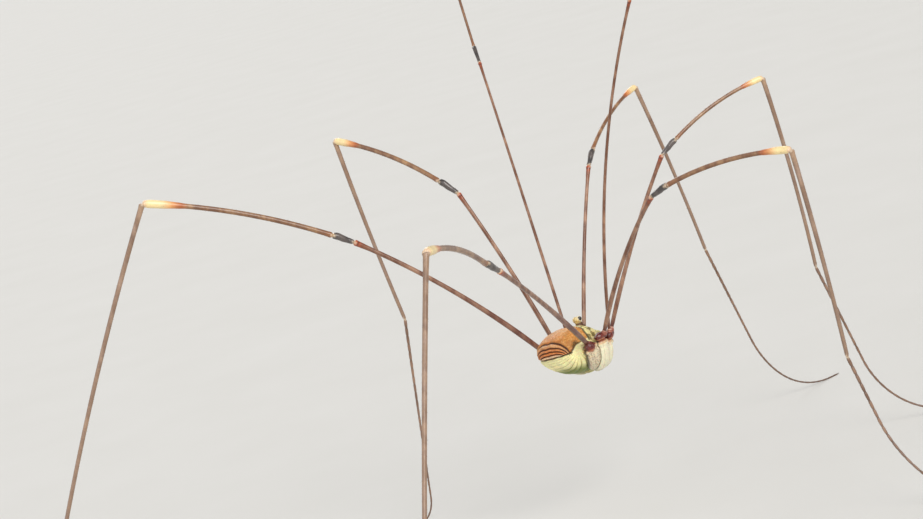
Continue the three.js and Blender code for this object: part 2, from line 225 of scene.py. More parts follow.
def rise(low, high, value):
    """0 below low, 1 above high, and a smooth slope between."""
    t = np.clip((value - low) / (high - low), 0, 1)
    return t * t * (3 - 2 * t)


def bell(value, width):
    return np.exp(-(value / width) ** 2)


def round_angles(count):
    """The angles of points set evenly round a circle."""
    return 2 * math.pi * (np.arange(count) + 0.5) / count


def ripple(points, scale, seed):
    """Smooth uneven values from about -1 to 1 at points, with hills a scale apart."""
    p = points / scale
    chance = np.random.default_rng(seed)
    total = np.zeros(p.shape[:-1])
    for _ in range(7):
        way = chance.normal(size=3)
        way *= 2 * math.pi * chance.uniform(0.6, 1.5) / np.linalg.norm(way)
        total += np.sin(p @ way + chance.uniform(0, 2 * math.pi))
    return total / 3.7


def outward(grid):
    """Unit normals of a grid of points that closes round its second axis."""
    along = np.gradient(grid, axis=0)
    wrapped = np.concatenate([grid[:, -1:], grid, grid[:, :1]], 1)
    around = np.gradient(wrapped, axis=1)[:, 1:-1]
    normal = np.cross(around, along)
    return normal / np.maximum(np.linalg.norm(normal, axis=-1, keepdims=True), 1e-9)


def make_piece(name, points, faces, finish, marks, slot, *nodes):
    """A smooth mesh object from points in metres. marks: named values, one for each point."""
    mesh = bpy.data.meshes.new(name)
    mesh.from_pydata([tuple(p) for p in points], [], faces)
    mesh.validate()
    for mark, values in marks.items():
        given = mesh.attributes.new(mark, "FLOAT", "POINT")
        given.data.foreach_set("value", np.asarray(values, np.float32).ravel())
    mesh.polygons.foreach_set("use_smooth", [True] * len(mesh.polygons))
    mesh.materials.append(finish)
    piece = bpy.data.objects.new(name, mesh)
    bpy.context.scene.collection.objects.link(piece)
    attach(piece, "root")
    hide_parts(*nodes)
    return piece


def close_grid(grid):
    """Points and faces of a body through rings of points, with a point at the middle of both ends."""
    rows, sides = grid.shape[:2]
    points = np.concatenate([grid.reshape(-1, 3), grid[0].mean(0)[None], grid[-1].mean(0)[None]])
    k = np.arange(sides)
    after = (k + 1) % sides
    faces = []
    for row in range(rows - 1):
        a = row * sides
        faces += np.stack([a + k, a + after, a + sides + after, a + sides + k], 1).tolist()
    last = (rows - 1) * sides
    faces += [[rows * sides, n, m] for m, n in zip(k.tolist(), after.tolist())]
    faces += [[rows * sides + 1, last + m, last + n] for m, n in zip(k.tolist(), after.tolist())]
    return points, faces


def mark_ends(values):
    """A grid of values, with the two end points' values after them."""
    return np.concatenate([values.ravel(), [values[0].mean()], [values[-1].mean()]])


def make_round(name, grid, finish, marks, slot, *nodes):
    """A piece through rings of points in metres. marks: named values, one for each point of the rings."""
    points, faces = close_grid(grid)
    return make_piece(name, points, faces, finish, {k: mark_ends(v) for k, v in marks.items()}, slot, *nodes)


def on_trunk(points):
    """Points in the trunk's own axes and millimetres, as places in the frame, in metres."""
    return points @ np.array(TRUNK_TURN).T * MM + np.array(trunk_middle)


def fold_angle(p):
    """Degrees round the line across the body that all rear folds meet on: 0 backward, 90 up."""
    return np.degrees(np.arctan2(p[..., 2] - FOLD_AXIS[1], FOLD_AXIS[0] - p[..., 0]))


turns = np.linspace(0.004, 0.996, SKIN_RINGS) * math.pi
skin_x = (TRUNK_REAR + TRUNK_FRONT) / 2 - (TRUNK_FRONT - TRUNK_REAR) / 2 * np.cos(turns)
skin = trunk_surface(*np.meshgrid(skin_x, round_angles(SKIN_SIDES), indexing="ij"))
normal = outward(skin)
x, y, z = np.moveaxis(skin, -1, 0)
aside = np.abs(y)
across_curve = np.clip(aside / 1.9, 0, 1.1)
# The plate over the back ends behind and below in an edge, and in front in the furrow
above = z - EDGE_HEIGHT - EDGE_CLIMB * rise(-2.15, -1.2, x)
plate = rise(-0.04, 0.04, above)
furrow_line = FURROW_AT - 0.36 * across_curve ** 2 + 0.05 * ripple(skin, 1.3, 5)
fore = rise(-0.03, 0.03, x - furrow_line)
carapace = fore * rise(-0.1, 0.1, z)
# The folds behind the plate: dark grooves that bow down at the sides, with a rounded ridge under each
rear = rise(-1.6, -1.95, x)
uneven = z - EDGE_HEIGHT + 0.02 * ripple(skin, 0.8, 3)
grooves, relief, tile, glow, pale = (np.zeros_like(x) for _ in range(5))
ridge_top = None
for top, spread, width, depth, orange in REAR_FOLDS:
    bow = np.clip(aside / spread, 0, 1) ** 2.8
    height = top * np.sqrt(1 - bow)
    steep = np.minimum(1.4 * top * bow / np.maximum(aside, 0.1) / np.sqrt(np.maximum(1 - bow, 0.02)), 4)
    line = bell((uneven - height) / np.sqrt(1 + steep ** 2), width)
    line *= rear * rise(spread + 0.06, spread - 0.02, aside)
    grooves = np.maximum(grooves, line)
    relief -= depth * line
    if ridge_top is not None:
        share = np.clip((ridge_top - uneven) / np.maximum(ridge_top - height, 0.02), 0, 1)
        hump = np.where((uneven < ridge_top) & (uneven > height), np.sin(math.pi * share) ** 0.8, 0) * rear
        tile = np.maximum(tile, hump)
        glow = np.maximum(glow, hump * ridge_orange)
        # Painted highlight: a whitish streak over the upper part of each plain tan ridge
        pale = np.maximum(pale, hump * (ridge_orange == 0) * bell(share - 0.35, 0.3))
    ridge_top, ridge_orange = height, orange
relief += 0.05 * tile
# The plate's lower edge is a shallow groove. It joins the fold grooves in their painted shade.
edge_line = bell(above / (1 + 0.6 * bell(x + 1.5, 0.5)), 0.055) * rise(0.25, -0.6, x)
relief -= EDGE_DEEP * edge_line
grooves = np.maximum(grooves, 0.75 * edge_line)
# The pleats of the flank, which fan out from the line that the folds meet on. Their valleys are also coloured
# olive, as painted shade.
fold = fold_angle(skin)
reach = np.hypot(x - FOLD_AXIS[0], z - FOLD_AXIS[1])
soft = (1 - plate) * (1 - rise(-0.5, 0.3, x)) * rise(0.15, 0.75, reach)
sweep = fold + 2.2 * ripple(skin, 1.1, 8)
sweep += 3.0 * ripple(np.stack([fold / 30, 0 * x, 0 * x], -1), 1.0, 9)
pleat = 2 * np.abs(np.sin(math.pi * sweep / PLEAT_ANGLE)) ** 0.6 - 1
pleat_size = (0.65 + 0.35 * rise(0.3, 1.2, aside)) * (0.5 + 0.5 * rise(0.7, 1.7, reach))
relief += PLEAT_DEEP * pleat * soft * pleat_size * rise(-16, -22, fold)
# The furrows and pits of the carapace, a band of painted shadow on each side where the plate's lower edge
# meets the flank, the brim, and the belly's rings
furrow = bell(x - furrow_line, FURROW_WIDE) * rise(0.2, 0.5, z)
second = bell(x - furrow_line - SECOND_FURROW_AHEAD, SECOND_FURROW_WIDE)
second *= rise(0.35, 0.7, z) * rise(1.75, 1.3, aside)
pit = bell(np.hypot((x - PIT_PLACE[0]) / 0.16, (aside - PIT_PLACE[1]) / 0.1), 1.0) * (z > 0.3)
pit_rim = bell(np.hypot((x - PIT_PLACE[0]) / 0.3, (aside - PIT_PLACE[1]) / 0.2), 1.0) * (z > 0.3)
painted_shade_band = np.hypot((x - SHADE_BAND_PLACE[0]) / SHADE_BAND_HALF[0], (above - SHADE_BAND_PLACE[1]) / SHADE_BAND_HALF[1])
painted_shade_band = bell(painted_shade_band + 0.25 * ripple(skin, 0.3, 21), 0.9) * (aside > 1.5)
brim = bell(z - BRIM_HEIGHT, 0.05) * rise(0.9, 1.3, x)
belly_rings = sum(bell(x + 0.16 * aside - ring_x, RING_WIDE) for ring_x in BELLY_RINGS) * rise(-1.15, -1.5, z)
relief -= FURROW_DEEP * furrow + SECOND_FURROW_DEEP * second + PIT_DEEP * pit - 0.05 * pit_rim
relief -= BRIM_DEEP * brim + RING_DEEP * belly_rings
hard = np.maximum(plate * (1 - fore), 0.45 * carapace)
relief += hard * (0.010 * ripple(skin, 0.16, 11) + 0.008 * ripple(skin, 0.09, 12)) * (1 - grooves)
relief += 0.02 * ripple(skin, 1.4, 14) - FRONT_SLOPE_DROP * bell(x - FRONT_SLOPE_AT, 0.55) * rise(0.2, 0.7, z)
skin = skin + normal * relief[..., None]
low_sides = above / np.sqrt(np.maximum(1 - np.minimum(across_curve, 1) ** 2.8, 0.02))
trunk_marks = {
    "plate": plate * (1 - fore), "carapace": carapace, "groove": grooves, "tile": tile, "glow": glow,
    "pale": pale, "pit": pit, "painted_shade_band": painted_shade_band, "rearward": rise(-1.3, -1.9, x) * rise(1.5, 0.9, low_sides),
    "furrow": np.maximum.reduce([furrow, 0.35 * second, 0.6 * brim, 0.45 * belly_rings]),
    # pleat: olive in the pleats' valleys as painted shade, cream on their crests
    "pleat": pleat * soft * (0.55 + 0.45 * rise(0.7, 1.6, reach)),
    # Painted shade: the underside is tinted olive, for the shade under the body and the green light thrown up
    # from below
    "under": rise(0.62, 1.2, -z - 0.22 * (x + 2.0)) * (1 - carapace),
}


def cuticle_grain():
    """Node group: fine mottling of a hard skin, as a tint to multiply by, a roughness and a height."""
    group = bpy.data.node_groups.new("cuticle_grain", "ShaderNodeTree")
    for name, value in (("Spacing", 9000.0), ("Contrast", 0.3), ("Gloss", 0.45)):
        group.interface.new_socket(name, in_out="INPUT", socket_type="NodeSocketFloat").default_value = value
    for name, kind in (("Tint", "Color"), ("Roughness", "Float"), ("Height", "Float")):
        group.interface.new_socket(name, in_out="OUTPUT", socket_type="NodeSocket" + kind)
    given, result = group.nodes.new("NodeGroupInput"), group.nodes.new("NodeGroupOutput")
    spacing = given.outputs["Spacing"]
    place = add_node(group, "ShaderNodeTexCoord").outputs["Object"]
    fine = add_node(group, "ShaderNodeTexNoise", Vector=place, Detail=4.0, Roughness=0.6,
                    Scale=spacing).outputs[0]
    broad = add_node(group, "ShaderNodeTexNoise", Vector=place, Detail=2.0,
                     Scale=reckon(group, "MULTIPLY", spacing, 0.17)).outputs[0]
    cells = add_node(group, "ShaderNodeTexVoronoi", Vector=place,
                     Scale=reckon(group, "MULTIPLY", spacing, 1.3)).outputs[0]
    speck = reckon(group, "MULTIPLY_ADD", reckon(group, "ADD", fine, broad), 0.6, -0.6)
    swing = reckon(group, "MULTIPLY", speck, given.outputs["Contrast"])
    level = reckon(group, "MULTIPLY_ADD", swing, 2.0, 0.96)
    tint = add_node(group, "ShaderNodeCombineColor", Red=level, Green=reckon(group, "SUBTRACT", level, 0.01),
                    Blue=reckon(group, "MULTIPLY_ADD", swing, 1.2, 0.95))
    dulled = reckon(group, "MULTIPLY_ADD", reckon(group, "SUBTRACT", fine, 0.5), 0.35, given.outputs["Gloss"])
    join_value(group, result.inputs["Tint"], tint.outputs[0])
    join_value(group, result.inputs["Roughness"], dulled)
    join_value(group, result.inputs["Height"], reckon(group, "MULTIPLY_ADD", cells, -0.7, fine))
    return group


GRAIN = cuticle_grain()
FULL = (0, 1, 1)


def mark_of(tree, name):
    return add_node(tree, "ShaderNodeAttribute", {"attribute_name": name}).outputs["Fac"]


def speckle(tree, spacing, roughness=0.5, stretch=(1, 1, 1)):
    """Uneven values, from 0 to 1, that change over the piece."""
    place = add_node(tree, "ShaderNodeTexCoord").outputs["Object"]
    scaled = add_node(tree, "ShaderNodeMapping", Vector=place, Scale=stretch).outputs[0]
    return add_node(tree, "ShaderNodeTexNoise", Vector=scaled, Scale=spacing, Detail=2.0,
                    Roughness=roughness).outputs[0]


def lay_tones(tree, colour, tones, stretch=(1, 1, 1)):
    """Lays tones over a colour in turn. Each tone: what it follows, the values at which it starts and is
    full, its greatest share, and its colour. It follows a mark, freckles of a spacing, or a node's output."""
    for follows, start, full, most, tone in tones:
        if isinstance(follows, str):
            follows = mark_of(tree, follows)
        elif isinstance(follows, float):
            follows = speckle(tree, follows, 0.55, stretch)
        colour = blend_colours(tree, within(tree, follows, start, full, 0, most), colour, paint(tone))
    return colour


def lay_grain(tree, shader, colour, spacing, contrast, gloss, relief, strength=0.6):
    """Joins a colour to the shader with the skin's grain over it, and the grain's roughness and relief."""
    grain = add_node(tree, "ShaderNodeGroup", {"node_tree": GRAIN})
    for name, value in (("Spacing", spacing), ("Contrast", contrast), ("Gloss", gloss)):
        grain.inputs[name].default_value = value
    colour = blend_colours(tree, 1.0, colour, grain.outputs["Tint"], "MULTIPLY")
    join_value(tree, shader.inputs["Base Color"], colour)
    join_value(tree, shader.inputs["Roughness"], grain.outputs["Roughness"])
    bump = add_node(tree, "ShaderNodeBump", Height=grain.outputs["Height"], Strength=strength,
                    Distance=relief * MM)
    join_value(tree, shader.inputs["Normal"], bump.outputs[0])


def skin_finish(name, base, tones, grain, stretch=(1, 1, 1), **shine):
    """A finish of hard skin: a colour, the tones over it, and its grain as lay_grain takes it."""
    finish, tree, shader = new_finish(name, **shine)
    lay_grain(tree, shader, lay_tones(tree, paint(base), tones, stretch), *grain)
    return finish


finish, tree, shader = new_finish("trunk_skin", Subsurface_Weight=0.12, Subsurface_Scale=0.0004)
granules = speckle(tree, 11000.0)
plate_colour = lay_tones(tree, paint("cb8638"), (
    (2600.0, 0.42, 0.62, 1, "e4a75c"), ("rearward", *FULL, "c8672a"), ("tile", 0.45, 0.95, 0.85, "e3b07a"),
    # pale is a painted highlight on the plain ridges
    ("glow", 0.15, 0.8, 0.9, "e8813a"), ("pale", 0.3, 0.9, 0.8, "f0dfc0"),
    # painted shadow: dark olive on each side, along the plate's edge over the flank
    ("painted_shade_band", 0.2, 0.6, 0.85, "403619"), (granules, 0.62, 0.36, 0.45, "a96c2c"),
    (granules, 0.56, 0.68, 0.6, "f0b878")))
fore_colour = lay_tones(tree, paint("f4e6a0"), ((2600.0, 0.51, 0.6, 1, "84733a"),))
# The soft skin: olive, cream where the pleats rise, cream freckles, and olive painted shade on the underside
soft_colour = lay_tones(tree, paint("94823a"), (
    ("pleat", -0.8, 0.05, 1, "fdf4b6"), (700.0, 0.6, 0.85, 1, "ece09a"), ("under", *FULL, "75822c")))
colour = blend_colours(tree, mark_of(tree, "plate"), soft_colour, plate_colour)
colour = blend_colours(tree, mark_of(tree, "carapace"), colour, fore_colour)
# Painted shade in the creases: the fold grooves and the plate's lower edge are coloured dark brown
colour = lay_tones(tree, colour, (
    ("groove", 0.25, 0.8, 0.92, "3a1f0e"), ("furrow", 0.25, 0.75, 0.9, "3f3a16"),
    ("pit", 0.4, 0.8, 0.9, "3b2413")))
lay_grain(tree, shader, colour, 9000.0, 0.5, 0.46, 0.03)
make_round("trunk_skin", on_trunk(skin), finish, trunk_marks, "ochre_back", "abdomen", "carapace")

# The coxae: eight plump basal joints in a fan, pressed side by side round the flank and under the
# belly. Each is a hard cream tube with a russet rim where the leg's next joint turns in it.
COXAE = {
    4: ((0.75, 0.44, -1.75), (-0.1, 2.25, -1.42), (-0.47, 2.38, 0.05), 0.74),
    3: ((0.8, 0.44, -1.9), (0.68, 2.2, -1.97), (0.68, 2.52, 0.1), 0.6),
    2: ((1.15, 0.42, -1.82), (1.2, 1.7, -2.12), (1.46, 2.2, -0.12), 0.52),
    1: ((1.55, 0.4, -1.5), (1.8, 0.95, -1.6), (2.2, 1.5, -0.3), 0.46),
}
COXA_INNER_SHARE, COXA_OUTER_SHARE = 0.43, 0.8
COXA_DEPTH, COXA_SQUARENESS = 0.42, 0.86
COXA_STREAK_AT, COXA_STREAK_DEEP, COXA_SEAM_DEEP = 0.35, 0.014, 0.03
COXA_RINGS, COXA_SIDES = 70, 56
SIDES = {"left": 1, "right": -1}


def mirrored(place, side):
    return np.array([place[0], place[1] * side, place[2]], float)


def bent_line(start, turn, end, t):
    """Points and directions of a simple curve at the shares t of its way."""
    t = t[:, None]
    place = (1 - t) ** 2 * start + 2 * t * (1 - t) * turn + t ** 2 * end
    way = 2 * (1 - t) * (turn - start) + 2 * t * (end - turn)
    return place, way / np.linalg.norm(way, axis=1, keepdims=True)


def cross_ways(way, sideways):
    """Two unit vectors square to each way. The first lies nearest to sideways."""
    across = sideways - way * (way @ sideways)[:, None]
    across /= np.linalg.norm(across, axis=1, keepdims=True)
    return across, np.cross(way, across)


# The coxa's olive inner end under the body is painted shade
finish, tree, shader = new_finish("coxa_shell", Subsurface_Weight=0.15, Subsurface_Scale=0.0004)
dots = within(tree, speckle(tree, 7500.0, 0.55), 0.5, 0.6)
lay_grain(tree, shader, lay_tones(tree, paint("f6f1d0"), (
    ("hind", *FULL, "dccfb0"), (reckon(tree, "MULTIPLY", dots, mark_of(tree, "hind")), 0, 1, 0.75, "96785a"),
    ("streak", 0.5, 1, 0.6, "a8956a"), ("inward", 0.2, 1, 0.85, "97935a"), ("rim", 0.1, 0.5, 1, "d2b48c"),
    # The last tone is painted shade on the coxa's front and back faces and in its seams
    ("rim", 0.75, 0.9, 1, "96583f"), ("flank", 0.3, 0.85, 0.88, "463a24"))), 7000.0, 0.35, 0.36, 0.02)


def rings_along(place, across, along, wide, deep):
    """Rings of points round a line. wide and deep: how far each point lies out along the two ways across."""
    return place[:, None] + across[:, None] * wide[..., None] + along[:, None] * deep[..., None]


def share_of(points, shape):
    """How far points lie from a coxa's middle line, as a share of its half-size there: 1 is on its skin."""
    place, across, along, wide, deep = shape
    nearest = np.argmin(np.linalg.norm(points[..., None, :] - place, axis=-1), -1)
    off = points - place[nearest]
    return np.hypot((off * across[nearest]).sum(-1) / wide[nearest],
                    (off * along[nearest]).sum(-1) / deep[nearest])


t = np.linspace(0, 1, COXA_RINGS)
angle = round_angles(COXA_SIDES)
c, s = power_of(np.cos(angle), COXA_SQUARENESS), power_of(np.sin(angle), COXA_SQUARENESS)
front = np.cos(angle)
swell = 1 - (1 - np.where(t < 0.5, COXA_INNER_SHARE, COXA_OUTER_SHARE)) * (2 * np.abs(t - 0.5)) ** 2
lip = 1 + 0.1 * bell(t - 0.93, 0.03) - 0.08 * bell(t - 0.87, 0.03) - 0.2 * rise(0.965, 1.0, t)
lip *= np.sqrt(np.clip(1 - np.clip(1 - t / 0.09, 0, 1) ** 2, 0.03, 1))
streak_grooves = COXA_STREAK_DEEP * (rise(0.15, 0.4, t) * rise(0.95, 0.8, t))[:, None] * bell(
    np.abs(front) - COXA_STREAK_AT, 0.07)
for side_name, side in SIDES.items():
    shapes = {}
    for pair, (inner, turn, outer, half) in COXAE.items():
        place, way = bent_line(mirrored(inner, side), mirrored(turn, side), mirrored(outer, side), t)
        shapes[pair] = (place, *cross_ways(way, np.array([1.0, 0, 0])), half * swell * lip,
                        COXA_DEPTH * (0.6 + 0.4 * swell) * lip)
    for pair, (place, across, along, wide, deep) in shapes.items():
        grid = rings_along(place, across, along, wide[:, None] * c, deep[:, None] * s)
        neighbours = [shapes[other] for other in (pair - 1, pair + 1) if other in shapes]
        seam = sum(bell(share_of(grid, shape) - 1, 0.1) for shape in neighbours) * rise(0.12, 0.3, t)[:, None]
        bumps = 0.008 * ripple(grid, 0.3, pair)
        grid += outward(grid) * (bumps - streak_grooves - COXA_SEAM_DEEP * seam)[..., None]
        size = np.ones((COXA_RINGS, COXA_SIDES))
        # Painted shade: flank darkens the coxa's front and back faces and the seams against its neighbours
        marks = {"hind": size * (0.9 if pair == 4 else 0.12), "inward": rise(0.45, 0.0, t)[:, None] * size,
                 "streak": bell(np.abs(front) - COXA_STREAK_AT, 0.09) * size,
                 "rim": rise(0.9, 1.0, t)[:, None] * size, "flank": np.maximum(front ** 12, seam)}
        make_round(f"coxa_{pair}_{side_name}_shell", on_trunk(grid), finish, marks, "cream_coxae",
                   f"coxa_{pair}_{side_name}")

# The legs: eight stilts, each a russet femur, a dark knee joint or patella, a tibia that swells into a
# cream knee, and a long tan metatarsus. They are hollow tubes of hard skin. Every joint has two small
# pale hinge knobs and a sleeve of white skin. The second pair is thinner and twice as long.
HIPS = {1: (2.6, 1.6, 0.0), 2: (1.78, 2.4, 0.04), 3: (0.85, 2.9, 0.35), 4: (-0.6, 2.5, 0.2)}
LENGTHS = {
    1: {"femur": 13.94, "patella": 1.6, "tibia": 8.5, "metatarsus": 15.3, "tarsus": 21},
    2: {"femur": 26.4, "patella": 2.1, "tibia": 23.5, "metatarsus": 26, "tarsus": 42},
    3: {"femur": 13.9, "patella": 1.8, "tibia": 10, "metatarsus": 15.1, "tarsus": 20},
    4: {"femur": 17.2, "patella": 1.7, "tibia": 14.3, "metatarsus": 25.5, "tarsus": 25},
}
# Pitch over the ground, heading from straight ahead towards the leg's own side, and arch
POSTURE = {
    "1_left": {"femur": (59.5, 17.5, 5.5), "patella": (38.5, 19, 0), "tibia": (22.5, 12.5, 14),
               "metatarsus": (-75.5, 10, 3)},
    "1_right": {"femur": (57.5, 23, 5), "patella": (31.5, 25, 0), "tibia": (17.5, 22.5, 13),
                "metatarsus": (-88, 29.5, 3)},
    "2_left": {"femur": (53.5, 54.5, 2), "patella": (35, 54, 0), "tibia": (56, 54, 3),
               "metatarsus": (2, 52, 6)},
    "2_right": {"femur": (68.5, 81, 11), "patella": (48, 80, 0), "tibia": (33, 76, 5),
                "metatarsus": (0, 70, 6)},
    "3_left": {"femur": (69, 109.5, 3.5), "patella": (41.5, 112.5, 0), "tibia": (27, 104.5, 11),
               "metatarsus": (-98, 104.5, 2)},
    "3_right": {"femur": (48, 92.5, 9), "patella": (21.5, 85.5, 0), "tibia": (5.5, 70, 12),
                "metatarsus": (-88.5, 73.5, 2)},
    "4_left": {"femur": (46, 148, 7.5), "patella": (33.5, 149.5, 0), "tibia": (25.5, 149, 8),
               "metatarsus": (-61, 148.5, 3)},
    "4_right": {"femur": (33, 149.5, 4), "patella": (33, 161.5, 0), "tibia": (15.5, 143.5, 10),
                "metatarsus": (-55.5, 153, 2)},
}
# A standing tarsus: pitch, heading, length of the bend that brings it level, last heading
STANDING = {"1_left": (-72, 5, 11, -1), "1_right": (-77, 33.5, 9.5, 36.5), "3_left": (-81.5, 105.5, 4, 107),
            "3_right": (-75, 77, 11, 83), "4_left": (-68.5, 148.5, 8, 148.5), "4_right": (-68, 153, 8, 153)}
# A raised tarsus: first pitch, heading, last pitch
RAISED = {"2_left": (-4, 50, -42), "2_right": (-8, 66, -56)}
FOOT_HEIGHT = 0.25 * math.cos(math.pi / 8)
STOUTNESS = {
    "femur": {1: 0.8, 2: 0.6, 3: 0.85, 4: 1.0}, "patella": {1: 0.92, 2: 0.68, 3: 1.0, 4: 1.05},
    "tibia": {1: 0.9, 2: 0.66, 3: 1.08, 4: 1.2}, "metatarsus": {1: 1.15, 2: 0.85, 3: 1.2, 4: 1.35},
    "tarsus": {1: 1.15, 2: 0.85, 3: 1.15, 4: 1.3},
}
TIP_SHARE = {1: 0.21, 2: 0.1, 3: 0.21, 4: 0.2}
# Radius along each joint, as pairs of distance and radius: first from its start, then back from its end.
# The tibia's end is measured in lengths of its pale tip, all else in millimetres
GIRTH = {
    "femur": (((0.3, 0.2), (0.5, 0.17), (0.8, 0.19), (2.5, 0.205)),
              ((6, 0.17), (1.4, 0.17), (0.5, 0.2), (0.16, 0.225), (0.05, 0.2), (0, 0.13))),
    "patella": (((0, 0.12), (0.1, 0.17), (0.35, 0.19)), ((0.7, 0.235), (0.3, 0.25), (0.1, 0.22), (0, 0.13))),
    "tibia": (((0, 0.12), (0.12, 0.18), (0.5, 0.165), (2, 0.16)),
              ((1.15, 0.155), (0.85, 0.2), (0.5, 0.25), (0.17, 0.25), (0.05, 0.21), (0, 0.13))),
    "metatarsus": (((0, 0.11), (0.1, 0.17), (0.45, 0.15), (2.5, 0.135)),
                   ((5, 0.115), (0.3, 0.115), (0, 0.08))),
}
LEG_ROUND, TARSUS_ROUND = 20, 14
KNOB_HEIGHT, RIDGE_COUNT, RIDGE_HEIGHT = 0.05, 6, 0.006
# The tibia's swollen tip is coloured over this many times its length
TIP_BLEND = 1.7
DUSK_LENGTH, DUSK_SHARE = 15, 0.5
TARSUS_RINGS, STEPS_A_RING = {1: 30, 2: 44, 3: 30, 4: 30}, 7
RING_PINCH, RING_SWELL = 0.2, 0.06


def leg_ways(pitch, heading, side):
    """For each pitch and heading in degrees: the way the leg runs, the way sideways and the way over it."""
    p, h = np.radians(pitch), np.radians(heading) * side
    run = np.stack([np.cos(p) * np.cos(h), np.cos(p) * np.sin(h), np.sin(p)], -1)
    across = np.stack([-np.sin(h), np.cos(h), 0 * h], -1)
    over = np.stack([-np.sin(p) * np.cos(h), -np.sin(p) * np.sin(h), np.cos(p)], -1)
    return run, across, over


def leg_line(start, length, bearings, side, steps=600):
    """Follows a leg joint from its start. Gives a function from distances to places and ways, and its end."""
    middle = (np.arange(steps) + 0.5) / steps * length
    run = leg_ways(*bearings(middle), side)[0]
    spots = np.concatenate([start[None], start + np.cumsum(run * length / steps, 0)])
    marks = np.linspace(0, length, steps + 1)

    def follow(s):
        ways = leg_ways(*bearings(np.clip(s, 0, length)), side)
        place = np.stack([np.interp(s, marks, spots[:, k]) for k in range(3)], -1)
        beyond = np.where(s < 0, s, np.where(s > length, s - length, 0))
        return place + ways[0] * beyond[:, None], ways

    return follow, spots[-1]


def girth(name, pair, s):
    """Radius of a leg joint at distances s: rounded steps between the knots."""
    length = LENGTHS[pair][name]
    starts, ends = GIRTH[name]
    unit = TIP_SHARE[pair] * length if name == "tibia" else 1
    at = np.array([k for k, _ in starts] + [length - k * unit for k, _ in ends])
    size = np.array([r for _, r in starts + ends]) * STOUTNESS[name][pair]
    i = np.clip(np.searchsorted(at, s, side="right") - 1, 0, len(at) - 2)
    share = rise(0, 1, (s - at[i]) / np.maximum(at[i + 1] - at[i], 1e-6))
    return size[i] + (size[i + 1] - size[i]) * share


def spaced(length, end_step, middle_step, end_zone=0.9, first=0.0):
    """Distances along a joint, closer together near both ends."""
    s, found = first, []
    while s < length:
        found.append(s)
        s += end_step if s < end_zone or s > length - end_zone else middle_step
    return np.array(found + [length])


def leg_tube(follow, s, radius, above=1.0, lifted=0.0, sides=LEG_ROUND):
    """Rings round a leg joint, flattened or raised over its line where asked."""
    place, (run, across, over) = follow(s)
    angle = round_angles(sides)
    place = place + over * np.broadcast_to(lifted, s.shape)[:, None]
    radius = radius[:, None]
    return rings_along(place, across, over, radius * np.cos(angle), radius * above * np.sin(angle))


def leg_finish(name, base, spots, tail, joint_tones, gloss, shine=0.4):
    """A leg joint's finish. tail: where on its way each tone starts and is full. joint_tones: the tones of
    its root, of the pale hinge skin, and of its ring."""
    tones = [(1500.0, 0.4, 0.65, 1, spots)] + [("tip", start, full, 1, tone) for start, full, tone in tail]
    tones += [(mark, *FULL, tone) for mark, tone in zip(("root", "hinge", "ring"), joint_tones)]
    return skin_finish(name + "_shell", base, tones, (8000.0, 0.45, gloss, 0.008, 0.4), (1, 1, 0.35),
                       Coat_Weight=shine, Coat_Roughness=0.2)


LEG_FINISH = {
    "femur": leg_finish("femur", "70462f", "a47c62", ((0.0, 0.55, "7e482c"), (0.55, 0.9, "b04c22")),
                        ("552019", "dcc0a0", "4a241a"), 0.34),
    "patella": leg_finish("patella", "38312f", "5e534e", ((0.75, 1.0, "2c2624"),),
                          ("6a4a3c", "d6bd9e", "2a2426"), 0.36, 0.9),
    "tibia": leg_finish("tibia", "7a5236", "a27c58",
                        ((0.3, 0.44, "b8602a"), (0.42, 0.58, "e8a468"), (0.56, 0.72, "f8dfa4"),
                         (0.93, 1.0, "f0c094")), ("8a5a38", "e6cbac", "f2cfa6"), 0.36),
    "metatarsus": leg_finish("metatarsus", "886b56", "ac8f7a", ((0.0, 1.0, "927661"),),
                             ("a98a70", "dcc8ae", "4d382c"), 0.42),
    "tarsus": leg_finish("tarsus", "7a5c48", "967660", ((0.3, 1.0, "6c5040"),),
                         ("8e6e58", "c2aa90", "48352a"), 0.45),
}
SLOTS = {"femur": "russet_legs", "patella": "slate_knees", "tibia": "russet_legs", "metatarsus": "tan_feet",
         "tarsus": "tan_feet"}


def foot_radius(pair, length, s):
    """Radius of a tarsus: it thins evenly to a fine tip."""
    return STOUTNESS["tarsus"][pair] * (0.105 - 0.055 * np.clip(s / length, 0, 1) ** 0.8)


def arched(pitch, heading, arch, length):
    """The bearings of a stiff joint: its pitch falls evenly from its start to its end."""
    return lambda s: (pitch + arch * (1 - 2 * s / length), heading + 0 * s)


def tarsus_course(key, pair, side, start):
    """The line of a tarsus, and how far each point sinks so that the thin foot lies on the ground."""
    length = LENGTHS[pair]["tarsus"]
    if key in RAISED:
        first, heading, last = RAISED[key]
        bearings = arched((first + last) / 2, heading, (first - last) / 2, length)
        return leg_line(start, length, bearings, side)[0], lambda s, z: 0 * s
    pitch, heading, bend, last_heading = STANDING[key]
    fall = math.radians(-pitch)
    straight = (start[2] - FOOT_HEIGHT - bend / fall * (1 - math.cos(fall))) / math.sin(fall)

    def bearings(s):
        turned = np.clip((s - straight) / bend, 0, 1)
        return pitch * (1 - turned), heading + (last_heading - heading) * turned

    def sink(s, z):
        return (FOOT_HEIGHT - foot_radius(pair, length, s)) * rise(4.5, FOOT_HEIGHT + 0.02, z)

    return leg_line(start, length, bearings, side)[0], sink


def ringed(profile, count):
    """A value for each ring of a leg joint, spread to all points of that ring."""
    return np.repeat(np.asarray(profile)[:, None], count, 1)


